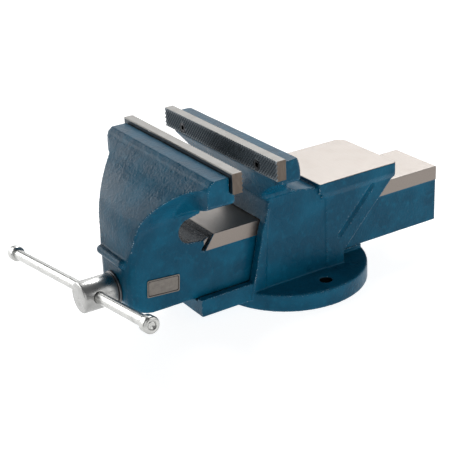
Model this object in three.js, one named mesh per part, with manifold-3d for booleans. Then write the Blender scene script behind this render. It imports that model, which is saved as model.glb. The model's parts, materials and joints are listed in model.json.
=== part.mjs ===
// Bench vise with a 200 mm jaw, a fixed round base, an anvil and a slide that runs through the body.
//
// Millimetres. The origin is the centre of the base's underside. +Z is up, +X is the operator's right
// and +Y points away from the operator, along the lead screw. The handle is at the -Y end.

import * as THREE from 'three';
import { mergeVertices } from 'three/addons/utils/BufferGeometryUtils.js';
import Module from 'manifold-3d';

const wasm = await Module();
wasm.setup();

// ---------------------------------------------------------------- driving dimensions

const GAP = 0.3; // clearance between pieces that touch

// jaws
const JAW_HALF = 100; // half the jaw width
const PLATE_THICK = 10.6;
const PLATE_TOP = 175.4;
const PLATE_BOTTOM = 155.9;
const FIXED_FACE_Y = -78.2; // clamping face of the fixed plate
const OPENING = 36.2; // distance between the clamping faces as stored
const MOVING_FACE_Y = FIXED_FACE_Y - OPENING;
const PLATE_SCREW_X = 66.5;
const PLATE_SCREW_Z = 162.4;

// plate screws
const SCREW_HEAD_R = 5.2;
const SCREW_HEAD_LENGTH = 5.2;
const SCREW_HEAD_SUNK = 0.9; // below the clamping face
const SCREW_SHANK_R = 2.8;
const SCREW_LENGTH = 22;
const SOCKET_R = 2.7;
const SOCKET_DEPTH = 3.2;

// base
const BASE_R = 82.8;
const BASE_THICK = 18.6;
const BASE_EDGE = 2;
const BOLT_HOLE_R = 6.5;
const BOLT_HOLES = [[62.3, 3], [-62.3, 3], [0, 64]];

// fixed body
const BODY_HALF = 42;
const WEB_HALF = 43.2;
const WEB_FRONT_Y = 18.8;
const FLANGE_HALF = 43;
const TUNNEL_HALF = 33.2;
const TUNNEL_FLOOR = 24.6;
const TUNNEL_ROOF = 90;
const LIP_HALF = 41;
const LIP_FRONT_Y = -129.2;
const LIP_BOTTOM = 9.5;
const LIP_TOP = 28;
const LIP_REAR_Y = -60;
const PAD_HALF = 26; // raised pad behind the body, round the rear bolt hole
const PAD_FRONT_Y = 30;
const PAD_TOP = 23.1;
const ANVIL_HALF = 46.5;
const ANVIL_FRONT_Y = 8.6;
const ANVIL_REAR_Y = 106.5;
const ANVIL_TOP = 114.1;
const ANVIL_EDGE = 11;
const HEAD_HALF = 95; // casting behind the plates
const HEAD_TOP = 171;

// moving jaw and its slide
const SIDE_HALF = 32;
const BEAM_HALF = 31.6;
const BAND_HALF = 32.4;
const BAND_BOTTOM = 73.7;
const SLIDE_TOP = 89.2;
const SLIDE_BOTTOM = 27;
const SLIDE_REAR_Y = 173.4;
const CAVITY_HALF = 21;
const CAVITY_ROOF = 70;
const BOSS_INNER_Y = -170;
const BOSS_FACE_Y = -200.2;

// lead screw and handle
const AXIS_Z = 48.5;
const SCREW_R = 11;
const HEAD_R = 15.5;
const HEAD_FRONT_Y = -237.8;
const HEAD_REAR_Y = -202.9;
const SCREW_END_Y = 136.8;
const BAR_R = 5.5;
const BAR_HALF = 156.7;
const BAR_Y = -223.3;
const BAR_TILT = THREE.MathUtils.degToRad(8.6);
const BAR_OFFSET = -38.6; // how far the bar has slid from its middle
const BAR_HOLE_R = 5.9;
const CAP_R = 8.2;
const CAP_LENGTH = 11;
const CAP_NECK_R = 3.6; // reduced end of the bar, inside the cap

// nut
const NUT_FRONT_Y = -50;
const NUT_REAR_Y = -6;
const NUT_HALF = 17;
const NUT_BOLT_Y = [-41, -16];
const NUT_BOLT = { headR: 9.6, headLength: 6.4, headZ: 1.6, shankR: 5, shankLength: 28, shankZ: 7 };
const NUT_BOLT_HOLE_R = 5.5;
const NUT_TAPPED_R = 5.3;
const NUT_TAPPED_TOP = 36.1;
const NUT_RECESS = { radius: 11, depth: 10.5 }; // under the base, for the bolt heads
const NUT_WASHER = { inner: 5.4, outer: 10.2, thick: 1.9, z: 8.3 };

// Badge on the right side of the moving jaw
const BADGE = { length: 35, height: 17.5, thick: 0.8, tilt: THREE.MathUtils.degToRad(-4.5) };
const BADGE_Y = -164.8;
const BADGE_Z = 51.7;

// ---------------------------------------------------------------- solids

function toSolid(geometry) {
  const bare = geometry.clone();
  bare.deleteAttribute('normal');
  bare.deleteAttribute('uv');
  const merged = mergeVertices(bare, 1e-4);
  return new wasm.Manifold(new wasm.Mesh({
    numProp: 3,
    vertProperties: new Float32Array(merged.attributes.position.array),
    triVerts: new Uint32Array(merged.index.array),
  }));
}

function toGeometry(solid) {
  const mesh = solid.getMesh();
  const geometry = new THREE.BufferGeometry();
  geometry.setAttribute('position', new THREE.BufferAttribute(mesh.vertProperties, 3));
  geometry.setIndex(new THREE.BufferAttribute(mesh.triVerts, 1));
  geometry.computeVertexNormals();
  return geometry;
}

function box(x0, x1, y0, y1, z0, z1) {
  const geometry = new THREE.BoxGeometry(x1 - x0, y1 - y0, z1 - z0);
  geometry.translate((x0 + x1) / 2, (y0 + y1) / 2, (z0 + z1) / 2);
  return toSolid(geometry);
}

function polygon(points) {
  return new THREE.Shape(points.map(([a, b]) => new THREE.Vector2(a, b)));
}

function extrude(shape, depth, matrix, curveSegments = 12) {
  const geometry = new THREE.ExtrudeGeometry(shape, { depth, bevelEnabled: false, curveSegments });
  geometry.applyMatrix4(matrix);
  return toSolid(geometry);
}

// A (y, z) outline swept along X from x0 to x1.
function sweepX(shape, x0, x1, curveSegments) {
  const matrix = new THREE.Matrix4().makeBasis(
    new THREE.Vector3(0, 1, 0), new THREE.Vector3(0, 0, 1), new THREE.Vector3(1, 0, 0));
  matrix.setPosition(x0, 0, 0);
  return extrude(shape, x1 - x0, matrix, curveSegments);
}

// An (x, z) outline swept along Y from y0 to y1.
function sweepY(shape, y0, y1, curveSegments) {
  const matrix = new THREE.Matrix4().makeBasis(
    new THREE.Vector3(1, 0, 0), new THREE.Vector3(0, 0, 1), new THREE.Vector3(0, -1, 0));
  matrix.setPosition(0, y1, 0);
  return extrude(shape, y1 - y0, matrix, curveSegments);
}

// An (x, y) outline swept along Z from z0 to z1.
function sweepZ(shape, z0, z1, curveSegments) {
  return extrude(shape, z1 - z0, new THREE.Matrix4().makeTranslation(0, 0, z0), curveSegments);
}

// A solid of revolution. The profile is a list of [radius, distance along the axis].
function turned(profile, direction, start, segments = 48) {
  const outline = profile.map(([r, h]) => new THREE.Vector2(r, h));
  const geometry = new THREE.LatheGeometry(outline, segments);
  const turn = new THREE.Quaternion().setFromUnitVectors(new THREE.Vector3(0, 1, 0), direction);
  geometry.applyQuaternion(turn);
  geometry.translate(start.x, start.y, start.z);
  return toSolid(geometry);
}

function rod(radius, length, direction, start, segments = 48) {
  return turned([[0, 0], [radius, 0], [radius, length], [0, length]], direction, start, segments);
}

function ring(inner, outer, length, direction, start, segments = 48) {
  const profile = [[inner, 0], [outer, 0], [outer, length], [inner, length], [inner, 0]];
  return turned(profile, direction, start, segments);
}

// A closed skin over outlines of equal point count, stacked upwards. Each runs anticlockwise from above.
function loft(sections) {
  const count = sections[0].length;
  const positions = sections.flatMap((section) => section.flatMap((p) => [p.x, p.y, p.z]));
  const index = [];
  for (let s = 0; s < sections.length - 1; s += 1) {
    for (let j = 0; j < count; j += 1) {
      const a = s * count + j;
      const b = s * count + (j + 1) % count;
      index.push(a, b, b + count, a, b + count, a + count);
    }
  }
  const cap = (section) => THREE.ShapeUtils.triangulateShape(
    section.map((p) => new THREE.Vector2(p.x, p.y)), []);
  const top = (sections.length - 1) * count;
  cap(sections[0]).forEach(([a, b, c]) => index.push(a, c, b));
  cap(sections.at(-1)).forEach(([a, b, c]) => index.push(top + a, top + b, top + c));
  const geometry = new THREE.BufferGeometry();
  geometry.setAttribute('position', new THREE.Float32BufferAttribute(positions, 3));
  geometry.setIndex(index);
  return toSolid(geometry);
}

function joined(...solids) {
  return solids.reduce((whole, solid) => whole.add(solid));
}

function cut(solid, ...tools) {
  return tools.reduce((whole, tool) => whole.subtract(tool), solid);
}

const ALONG_X = new THREE.Vector3(1, 0, 0);
const ALONG_Y = new THREE.Vector3(0, 1, 0);
const ALONG_Z = new THREE.Vector3(0, 0, 1);

// Straight-line interpolation in a short list of [position, value] pairs.
function interpolate(table, position) {
  const last = table.length - 1;
  if (position <= table[0][0]) return table[0][1];
  if (position >= table[last][0]) return table[last][1];
  const i = table.findIndex(([at]) => at > position);
  const [p0, v0] = table[i - 1];
  const [p1, v1] = table[i];
  return v0 + (v1 - v0) * (position - p0) / (p1 - p0);
}

// ---------------------------------------------------------------- moving jaw casting

// Edge of the front shield on the +X side, from the boss up to the lip under the jaw: x, y, z.
const SHIELD_EDGE = new THREE.CatmullRomCurve3([
  new THREE.Vector3(23, -199.3, 82.5),
  new THREE.Vector3(31, -195.4, 94),
  new THREE.Vector3(36.6, -192.3, 111),
  new THREE.Vector3(42.3, -186.8, 127),
  new THREE.Vector3(57.2, -172.5, 145),
  new THREE.Vector3(71.3, -158.7, 156),
  new THREE.Vector3(87, -151, 163),
], false, 'centripetal');

// Upper edge of the flat side, where the flare starts: y, z.
const FLARE_START = [
  [-196.2, 91.7], [-190.7, 100.7], [-183, 105.5], [-169.3, 110.7], [-150.5, 114.5], [-131, 115.3],
];

const HEAD_BLOCK_Y = -148.2; // front face of the block behind the moving plate
const HEAD_BLOCK_Z = 145; // its underside at the ends
const FLARE_TURN = 4.5; // length over which the flare turns into that front face
const HEAD_REAR_EDGE_Y = -120.2; // rear of the head's underside
const CORNER_R = 13; // upright corners beside the boss
const SHIELD_BULGE = 3; // how far the shield's middle stands proud of its edges
const SHIELD_FOOT_Z = 82.5;
const SHIELD_HEAD_Z = 164;
const JAW_LIP = [[-147.2, 166.2], [-146.2, 167.6], [-142.2, HEAD_TOP]]; // lip under the top: y, z
const BOSS_FRONT_Z = [60, 78]; // where the boss's upright front is sampled
const FOOT_R = 16; // rounded corner under the boss
const HEAD_FOOT_Y = -112; // rear of the head's lower part, inside the slide
const BEAM_FRONT_Y = -178; // front end of the slide, inside the head
const BAND_FRONT_Y = -118;
const RELIEF_REAR_Y = -106; // edge where the machined top of the slide starts
const POCKET = { y: -131.7, z: 99, radius: 12.4, roofRise: 5.8 };
const POCKET_FLOOR = [[-119, 84.9], [-112, 87.9]]; // up to the ridge before the groove: y, z
const RELIEF_GROOVE = [[-121.2, 75.2], [-116.8, 73.6]]; // bottom of the groove before the slide's top
const BEAD = { half: 21, radius: 4.6, z: 80.5 };
const CUT_CLEAR = 60; // half width of the cutters that run through both sides
const FRONT_STEPS = 10;
const CORNER_STEPS = 4;
const FLARE_STEPS = 13;

const shieldSamples = SHIELD_EDGE.getPoints(60);
const shieldHeight = shieldSamples.map((p) => [p.y, p.z]);
const shieldWidth = shieldSamples.map((p) => [p.y, p.x]);

// Half width of the casting at a point of its side view.
function flareHalf(y, z) {
  const start = interpolate(FLARE_START, y);
  if (z <= start) return SIDE_HALF;
  const rise = Math.min((z - start) / (HEAD_BLOCK_Z - start), 1);
  const behind = SIDE_HALF + (HEAD_HALF - SIDE_HALF) * rise ** 1.5;
  if (y >= HEAD_BLOCK_Y) return behind;
  const height = interpolate(shieldHeight, y);
  const width = interpolate(shieldWidth, y);
  const climb = Math.min((z - start) / Math.max(height - start, 1), 1);
  const front = SIDE_HALF + (width - SIDE_HALF) * climb ** 1.4;
  const blend = Math.max((y - HEAD_BLOCK_Y) / FLARE_TURN + 1, 0) ** 2;
  return Math.max(front * (1 - blend) + behind * blend, SIDE_HALF);
}

// The front outline from the underside to the top: front half width, front y, z.
function jawFront() {
  const bossHalf = SIDE_HALF - CORNER_R;
  const underside = [];
  for (let i = 0; i <= 6; i += 1) {
    const angle = i * Math.PI / 12;
    const y = BOSS_FACE_Y + FOOT_R * (1 - Math.sin(angle));
    underside.push([bossHalf, y, SLIDE_BOTTOM + FOOT_R * (1 - Math.cos(angle))]);
  }
  const boss = BOSS_FRONT_Z.map((z) => [bossHalf, BOSS_FACE_Y, z]);
  const shield = SHIELD_EDGE.getPoints(26).map((p) => [p.x, p.y, p.z]);
  const lip = JAW_LIP.map(([y, z]) => [HEAD_HALF, y, z]);
  return [...underside, ...boss, ...shield, ...lip];
}

function jawRear(z) {
  return z < SLIDE_TOP ? HEAD_FOOT_Y : HEAD_REAR_EDGE_Y;
}

// Points down the +X side, from the front to the rear. They crowd towards the head block's front face,
// where the flare opens out fastest.
function jawSide(half, frontY, z) {
  const endY = Math.max(HEAD_BLOCK_Y, frontY + 6);
  const rounding = Math.min(CORNER_R, (endY - frontY) / 4);
  const widening = Math.max(SIDE_HALF - half, 0);
  const points = [];
  for (let j = 1; j <= CORNER_STEPS; j += 1) {
    const angle = j * Math.PI / (2 * CORNER_STEPS);
    const y = frontY + rounding * (1 - Math.cos(angle));
    const x = widening > 0 ? half + widening * Math.sin(angle) : flareHalf(y, z);
    points.push([x, y]);
  }
  const reach = endY - frontY - rounding;
  for (let j = 1; j <= FLARE_STEPS; j += 1) {
    const y = endY - reach * (1 - j / FLARE_STEPS) ** 1.6;
    points.push([flareHalf(y, z), y]);
  }
  const rear = jawRear(z);
  points.push([flareHalf(rear, z), rear]);
  return points;
}

function jawSection([half, frontY, z]) {
  const front = [];
  const onShield = z > SHIELD_FOOT_Z && z < SHIELD_HEAD_Z;
  const climb = (z - SHIELD_FOOT_Z) / (SHIELD_HEAD_Z - SHIELD_FOOT_Z);
  const bulge = onShield ? SHIELD_BULGE * Math.sin(Math.PI * climb) : 0;
  for (let i = 0; i <= FRONT_STEPS; i += 1) {
    const x = half * (2 * i / FRONT_STEPS - 1);
    front.push(new THREE.Vector3(x, frontY - bulge * (1 - (x / half) ** 2), z));
  }
  const side = jawSide(half, frontY, z);
  const right = side.map(([x, y]) => new THREE.Vector3(x, y, z));
  const left = side.map(([x, y]) => new THREE.Vector3(-x, y, z)).reverse();
  return [...front, ...right, ...left];
}

// Side view of the opening between the head and the slide: a round end, a floor that rises to a ridge,
// and a slanted groove in front of the machined top.
function pocketOutline() {
  const { y, z, radius, roofRise } = POCKET;
  const shape = new THREE.Shape();
  shape.moveTo(RELIEF_REAR_Y, SLIDE_TOP + 0.1);
  shape.lineTo(RELIEF_REAR_Y, z + radius + roofRise);
  shape.lineTo(y, z + radius);
  shape.absarc(y, z, radius, Math.PI / 2, 3 * Math.PI / 2, false);
  [...POCKET_FLOOR, ...RELIEF_GROOVE].forEach((point) => shape.lineTo(...point));
  return shape;
}

function slideBeam() {
  const beam = box(-BEAM_HALF, BEAM_HALF, BEAM_FRONT_Y, SLIDE_REAR_Y, SLIDE_BOTTOM, SLIDE_TOP);
  const band = box(-BAND_HALF, BAND_HALF, BAND_FRONT_Y, SLIDE_REAR_Y, BAND_BOTTOM, SLIDE_TOP);
  return beam.add(band);
}

function frontBead() {
  const { half, radius, z } = BEAD;
  const start = new THREE.Vector3(-half - radius, BOSS_FACE_Y + 0.2, z);
  const arc = [];
  for (let i = 0; i <= 6; i += 1) {
    const angle = i * Math.PI / 12;
    arc.push([radius * Math.sin(angle), radius * (1 - Math.cos(angle))]);
  }
  const length = 2 * half + 2 * radius;
  const profile = [...arc, ...arc.map(([r, h]) => [r, length - h]).reverse()];
  return turned(profile, ALONG_X, start, 32);
}

function plateSeat(faceY, towards) {
  const inner = faceY - towards * (PLATE_THICK + GAP);
  const outer = faceY + towards * 30;
  const half = JAW_HALF + 10;
  return box(
    -half, half, Math.min(inner, outer), Math.max(inner, outer), PLATE_BOTTOM - GAP, PLATE_TOP + 25);
}

// Tapped holes behind a plate. towards is +1 where the clamping face looks along +Y.
function tappedHoles(faceY, towards) {
  const direction = ALONG_Y.clone().multiplyScalar(-towards);
  const holes = [-1, 1].map((side) => rod(
    SCREW_SHANK_R + GAP, SCREW_LENGTH + 4, direction,
    new THREE.Vector3(side * PLATE_SCREW_X, faceY, PLATE_SCREW_Z), 24));
  return joined(...holes);
}

function movingJaw() {
  const head = loft(jawFront().map(jawSection));
  const casting = joined(head, slideBeam(), frontBead());
  const pocket = sweepX(pocketOutline(), -CUT_CLEAR, CUT_CLEAR);
  const cavity = box(
    -CAVITY_HALF, CAVITY_HALF, BOSS_INNER_Y, SLIDE_REAR_Y + 10, SLIDE_BOTTOM - 20, CAVITY_ROOF);
  const bore = rod(SCREW_R + GAP, 60, ALONG_Y, new THREE.Vector3(0, BOSS_FACE_Y - 15, AXIS_Z));
  return cut(
    casting, pocket, cavity, bore, plateSeat(MOVING_FACE_Y, 1), tappedHoles(MOVING_FACE_Y, 1));
}

// ---------------------------------------------------------------- fixed body casting

// Jaw head above the tunnel: z, half width, front y, rear y.
const FIXED_HEAD = [
  [98, BODY_HALF, -52, 12], [109, BODY_HALF, -49.5, 12], [110.5, BODY_HALF, -49.8, 4],
  [112.5, BODY_HALF, -51, -8], [114, 44, -52.5, -13.5], [115.5, 47.6, -56, -17.5],
  [117, 49.4, -59, -21], [119, 50, -59.8, -24.6], [121, 50.2, -60.6, -27.8], [124, 52, -61.6, -32],
  [128, 56.5, -62.8, -36.2], [132, 62, -64.2, -39.3], [136, 68.5, -65.6, -42], [140, 76, -67, -44.2],
  [144, 84, -68.6, -45.8], [148, 92, -70.4, -46.8], [150, HEAD_HALF, -71.4, -47.1],
  [157, HEAD_HALF, -72, -46.9], [164, HEAD_HALF, -72, -47.8], [169.5, HEAD_HALF, -72, -49.6],
  [HEAD_TOP, HEAD_HALF, -72, -51],
];

function fixedHeadSection([z, half, frontY, rearY]) {
  const edge = 2.5;
  return [
    [-half + edge, frontY], [half - edge, frontY], [half, frontY + edge], [half, rearY - edge],
    [half - edge, rearY], [-half + edge, rearY], [-half, rearY - edge], [-half, frontY + edge],
  ].map(([x, y]) => new THREE.Vector3(x, y, z));
}

// Side view of the body: the front wall leans towards the operator at its foot.
function bodyOutline() {
  return polygon([
    [-73.5, BASE_THICK - 8], [-70.9, 24.6], [-67.6, 35], [-62.5, 58], [-58, 79], [-53.8, 92],
    [-50.6, 103], [-49.5, 109], [14, 109], [41.8, 100], [41.8, BASE_THICK - 8],
  ]);
}

// Side view of the raised flange along the front wall.
function flangeOutline() {
  return polygon([
    [-73.5, BASE_THICK - 8], [-62.5, 58], [-53.8, 92], [-50.6, 103], [-48.5, 103], [-50.6, 92],
    [-54.6, 47], [-56.6, 21], [-57.5, BASE_THICK - 8],
  ]);
}

// Side view of the web under the anvil, with its slanted rear edge.
function webOutline() {
  return polygon([
    [WEB_FRONT_Y, BASE_THICK - 8], [WEB_FRONT_Y, 104], [103.4, 104], [103.4, 96], [40.8, 31.7],
    [40, BASE_THICK - 8],
  ]);
}

// The rear left corner is rounded more than the rear right one.
function anvilOutline() {
  const right = 3.5;
  const left = 10;
  const shape = new THREE.Shape();
  shape.moveTo(-ANVIL_HALF, ANVIL_FRONT_Y);
  shape.lineTo(ANVIL_HALF, ANVIL_FRONT_Y);
  shape.lineTo(ANVIL_HALF, ANVIL_REAR_Y - right);
  shape.absarc(ANVIL_HALF - right, ANVIL_REAR_Y - right, right, 0, Math.PI / 2, false);
  shape.absarc(left - ANVIL_HALF, ANVIL_REAR_Y - left, left, Math.PI / 2, Math.PI, false);
  return shape;
}

// The slab's side bends inwards underneath, down to the web.
function anvil() {
  const slab = sweepZ(anvilOutline(), ANVIL_TOP - ANVIL_EDGE, ANVIL_TOP, 8);
  const under = new THREE.Shape();
  const depth = 9;
  const inset = ANVIL_HALF - WEB_HALF + 2;
  const low = ANVIL_TOP - ANVIL_EDGE;
  under.moveTo(-ANVIL_HALF, low + 1);
  under.quadraticCurveTo(-ANVIL_HALF + 0.5, low - 3, -ANVIL_HALF + inset, low - depth);
  under.lineTo(ANVIL_HALF - inset, low - depth);
  under.quadraticCurveTo(ANVIL_HALF - 0.5, low - 3, ANVIL_HALF, low + 1);
  const belly = sweepY(under, ANVIL_FRONT_Y + 4, ANVIL_REAR_Y - 0.5, 6);
  const slant = sweepX(polygon([[88, 80], [106.5, 99], [140, 99], [140, 80]]), -60, 60);
  const below = sweepZ(anvilOutline(), low - 2 * depth, low + 2, 8);
  return joined(slab, cut(belly, slant).intersect(below));
}

function baseDisc() {
  const profile = [
    [0, 0], [BASE_R - 1, 0], [BASE_R, 1], [BASE_R, BASE_THICK - BASE_EDGE],
    [BASE_R - BASE_EDGE * 0.3, BASE_THICK - BASE_EDGE * 0.3], [BASE_R - BASE_EDGE, BASE_THICK],
    [0, BASE_THICK],
  ];
  return turned(profile, ALONG_Z, new THREE.Vector3(), 96);
}

const GROOVE = { depth: 1.2, width: 2.6, length: 60.8, slope: Math.atan2(44, 42), y: 56.8, z: 73 };

// Slanted groove in the web, on both sides.
function webGroove(side) {
  const { depth, width, length, slope, y, z } = GROOVE;
  const geometry = new THREE.BoxGeometry(2 * depth, length, width);
  geometry.rotateX(slope);
  geometry.translate(side * WEB_HALF, y, z);
  return toSolid(geometry);
}

function nutBoltHoles() {
  const holes = NUT_BOLT_Y.flatMap((y) => [
    rod(NUT_RECESS.radius, NUT_RECESS.depth + 1, ALONG_Z, new THREE.Vector3(0, y, -1), 32),
    rod(NUT_BOLT_HOLE_R, 40, ALONG_Z, new THREE.Vector3(0, y, -1), 24),
  ]);
  return joined(...holes);
}

function fixedBody() {
  const body = sweepX(bodyOutline(), -BODY_HALF, BODY_HALF);
  const flanges = [
    sweepX(flangeOutline(), TUNNEL_HALF - 3, FLANGE_HALF),
    sweepX(flangeOutline(), -FLANGE_HALF, 3 - TUNNEL_HALF),
  ];
  const web = sweepX(webOutline(), -WEB_HALF, WEB_HALF);
  const head = loft(FIXED_HEAD.map(fixedHeadSection));
  const lip = box(-LIP_HALF, LIP_HALF, LIP_FRONT_Y, LIP_REAR_Y, LIP_BOTTOM, LIP_TOP);
  const pad = box(-PAD_HALF, PAD_HALF, PAD_FRONT_Y, BASE_R, BASE_THICK / 2, PAD_TOP)
    .intersect(rod(BASE_R - BASE_EDGE, 40, ALONG_Z, new THREE.Vector3(), 96));
  const casting = joined(baseDisc(), body, ...flanges, web, head, anvil(), lip, pad);
  const tunnel = box(-TUNNEL_HALF, TUNNEL_HALF, -150, 150, TUNNEL_FLOOR, TUNNEL_ROOF);
  const holes = BOLT_HOLES.map(([x, y]) => rod(
    BOLT_HOLE_R, 60, ALONG_Z, new THREE.Vector3(x, y, -5), 32));
  return cut(
    casting, tunnel, ...holes, nutBoltHoles(), webGroove(1), webGroove(-1),
    plateSeat(FIXED_FACE_Y, -1), tappedHoles(FIXED_FACE_Y, -1));
}

// ---------------------------------------------------------------- plates, screws, nut

// towards is +1 where the clamping face looks along +Y.
function jawPlate(faceY, towards) {
  const back = faceY - towards * PLATE_THICK;
  const blank = box(
    -JAW_HALF, JAW_HALF, Math.min(faceY, back), Math.max(faceY, back), PLATE_BOTTOM, PLATE_TOP);
  const direction = ALONG_Y.clone().multiplyScalar(-towards);
  const holes = [-1, 1].flatMap((side) => {
    const mouth = new THREE.Vector3(side * PLATE_SCREW_X, faceY + towards, PLATE_SCREW_Z);
    return [
      rod(SCREW_HEAD_R + GAP, 1 + SCREW_HEAD_SUNK + SCREW_HEAD_LENGTH + GAP, direction, mouth, 32),
      rod(SCREW_SHANK_R + GAP, PLATE_THICK + 4, direction, mouth, 24),
    ];
  });
  return cut(blank, ...holes);
}

function plateScrew(faceY, towards, side) {
  const direction = ALONG_Y.clone().multiplyScalar(-towards);
  const top = new THREE.Vector3(
    side * PLATE_SCREW_X, faceY - towards * SCREW_HEAD_SUNK, PLATE_SCREW_Z);
  const profile = [
    [0, 0], [SCREW_HEAD_R - 0.5, 0], [SCREW_HEAD_R, 0.5], [SCREW_HEAD_R, SCREW_HEAD_LENGTH],
    [SCREW_SHANK_R, SCREW_HEAD_LENGTH], [SCREW_SHANK_R, SCREW_LENGTH], [0, SCREW_LENGTH],
  ];
  const socketTop = top.clone().addScaledVector(direction, -1);
  const socket = rod(SOCKET_R, SOCKET_DEPTH + 1, direction, socketTop, 6);
  return cut(turned(profile, direction, top, 32), socket);
}

function screwNut() {
  const shape = new THREE.Shape();
  shape.moveTo(-NUT_HALF, TUNNEL_FLOOR + GAP);
  shape.lineTo(NUT_HALF, TUNNEL_FLOOR + GAP);
  shape.lineTo(NUT_HALF, AXIS_Z);
  shape.absarc(0, AXIS_Z, NUT_HALF, 0, Math.PI, false);
  const block = sweepY(shape, NUT_FRONT_Y, NUT_REAR_Y, 16);
  const bore = rod(SCREW_R + GAP, 80, ALONG_Y, new THREE.Vector3(0, NUT_FRONT_Y - 10, AXIS_Z));
  const tapped = NUT_BOLT_Y.map((y) => rod(
    NUT_TAPPED_R, NUT_TAPPED_TOP - TUNNEL_FLOOR + 6, ALONG_Z,
    new THREE.Vector3(0, y, TUNNEL_FLOOR - 6), 24));
  return cut(block, bore, ...tapped);
}

function nutBolt(y) {
  const { headR, headLength, headZ, shankR, shankLength, shankZ } = NUT_BOLT;
  const head = rod(headR, headLength, ALONG_Z, new THREE.Vector3(0, y, headZ), 6);
  const shank = rod(shankR, shankLength, ALONG_Z, new THREE.Vector3(0, y, shankZ), 24);
  return head.add(shank);
}

function nutWasher(y) {
  const { inner, outer, thick, z } = NUT_WASHER;
  return ring(inner, outer, thick, ALONG_Z, new THREE.Vector3(0, y, z), 32);
}

// ---------------------------------------------------------------- lead screw and what is on it

const AXIS_POINT = new THREE.Vector3(0, 0, AXIS_Z);
const BAR_AXIS = new THREE.Vector3(Math.cos(BAR_TILT), 0, Math.sin(BAR_TILT));
const BAR_CENTRE = new THREE.Vector3(0, BAR_Y, AXIS_Z);

function onAxis(y) {
  return AXIS_POINT.clone().setY(y);
}

const RETAINER = { washer: 2.4, springStart: -167, springLength: 21, coilR: 14.2, wireR: 1.3 };
const RETAINER_PIN_Y = -139.5;
const RETAINER_PIN = { radius: 2, length: 32, holeR: 2.3 };
const SPRING_WASHER_Y = -145.6;
const COLLAR = { radius: 16.8, thick: 2.1, y: BOSS_FACE_Y - 2.4 };

function leadScrew() {
  const headLength = HEAD_REAR_Y - HEAD_FRONT_Y;
  const length = SCREW_END_Y - HEAD_FRONT_Y;
  const profile = [
    [0, 0], [HEAD_R - 1.2, 0], [HEAD_R, 1.2], [HEAD_R, headLength - 0.8], [HEAD_R - 0.8, headLength],
    [SCREW_R, headLength], [SCREW_R, length - 2], [SCREW_R - 2, length], [0, length],
  ];
  const solid = turned(profile, ALONG_Y, onAxis(HEAD_FRONT_Y), 64);
  const handleHole = rod(
    BAR_HOLE_R, 60, BAR_AXIS, BAR_CENTRE.clone().addScaledVector(BAR_AXIS, -30), 40);
  const pinHole = rod(
    RETAINER_PIN.holeR, 60, ALONG_Z, new THREE.Vector3(0, RETAINER_PIN_Y, AXIS_Z - 30), 16);
  return cut(solid, handleHole, pinHole);
}

// Ring round the screw, with its front face at y.
function screwWasher(radius, thick, y) {
  return ring(SCREW_R + GAP, radius, thick, ALONG_Y, onAxis(y));
}

function retainingPin() {
  const { radius, length } = RETAINER_PIN;
  const foot = new THREE.Vector3(0, RETAINER_PIN_Y, AXIS_Z - length / 2);
  return rod(radius, length, ALONG_Z, foot, 16);
}

function spring() {
  const turns = 5;
  const { springStart, springLength, coilR, wireR } = RETAINER;
  const travel = springLength - 2 * wireR;
  const points = [];
  for (let i = 0; i <= turns * 12; i += 1) {
    const angle = i * Math.PI / 6;
    points.push(new THREE.Vector3(
      coilR * Math.cos(angle), springStart + wireR + travel * i / (turns * 12),
      AXIS_Z + coilR * Math.sin(angle)));
  }
  const section = new THREE.Shape().absarc(0, 0, wireR, 0, 2 * Math.PI, false);
  const geometry = new THREE.ExtrudeGeometry(section, {
    steps: turns * 12, curveSegments: 3, bevelEnabled: false,
    extrudePath: new THREE.CatmullRomCurve3(points),
  });
  return toSolid(geometry);
}

// ---------------------------------------------------------------- handle

function handleBar() {
  const start = BAR_CENTRE.clone().addScaledVector(BAR_AXIS, BAR_OFFSET - BAR_HALF);
  const length = 2 * BAR_HALF;
  const profile = [
    [0, 0], [CAP_NECK_R, 0], [CAP_NECK_R, CAP_LENGTH], [BAR_R, CAP_LENGTH],
    [BAR_R, length - CAP_LENGTH], [CAP_NECK_R, length - CAP_LENGTH], [CAP_NECK_R, length], [0, length],
  ];
  return turned(profile, BAR_AXIS, start, 40);
}

// The caps fit over the reduced ends of the bar. end is -1 or +1 along the bar.
function handleCap(end) {
  const outward = BAR_AXIS.clone().multiplyScalar(end);
  const start = BAR_CENTRE.clone()
    .addScaledVector(BAR_AXIS, BAR_OFFSET)
    .addScaledVector(outward, BAR_HALF - CAP_LENGTH + GAP);
  const bore = CAP_NECK_R + GAP;
  const edge = 1.2;
  const profile = [
    [bore, 0], [CAP_R - edge, 0], [CAP_R, edge], [CAP_R, CAP_LENGTH - edge],
    [CAP_R - edge, CAP_LENGTH], [bore, CAP_LENGTH], [bore, 0],
  ];
  return turned(profile, outward, start, 40);
}

// ---------------------------------------------------------------- badge

function badge() {
  const { length, height, thick, tilt } = BADGE;
  const geometry = new THREE.BoxGeometry(thick, length, height);
  geometry.rotateX(tilt);
  geometry.translate(SIDE_HALF + GAP + thick / 2, BADGE_Y, BADGE_Z);
  return toSolid(geometry);
}

// ---------------------------------------------------------------- assembly

const ENAMEL = { color: 0x1e4b69, roughness: 0.35, metalness: 0.0 };
const GROUND_STEEL = { color: 0xc8beb4, roughness: 0.4, metalness: 1.0 };
const BRIGHT_STEEL = { color: 0xcfcfcc, roughness: 0.2, metalness: 1.0 };
const BLACK_STEEL = { color: 0x2a2b2d, roughness: 0.5, metalness: 1.0 };
const NUT_IRON = { color: 0x5a5a5a, roughness: 0.6, metalness: 0.8 };
const BADGE_METAL = { color: 0xb9aea0, roughness: 0.4, metalness: 0.8 };

const group = new THREE.Group();

function place(name, solid, finish) {
  const mesh = new THREE.Mesh(toGeometry(solid), new THREE.MeshStandardMaterial(finish));
  mesh.name = name;
  group.add(mesh);
}

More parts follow.
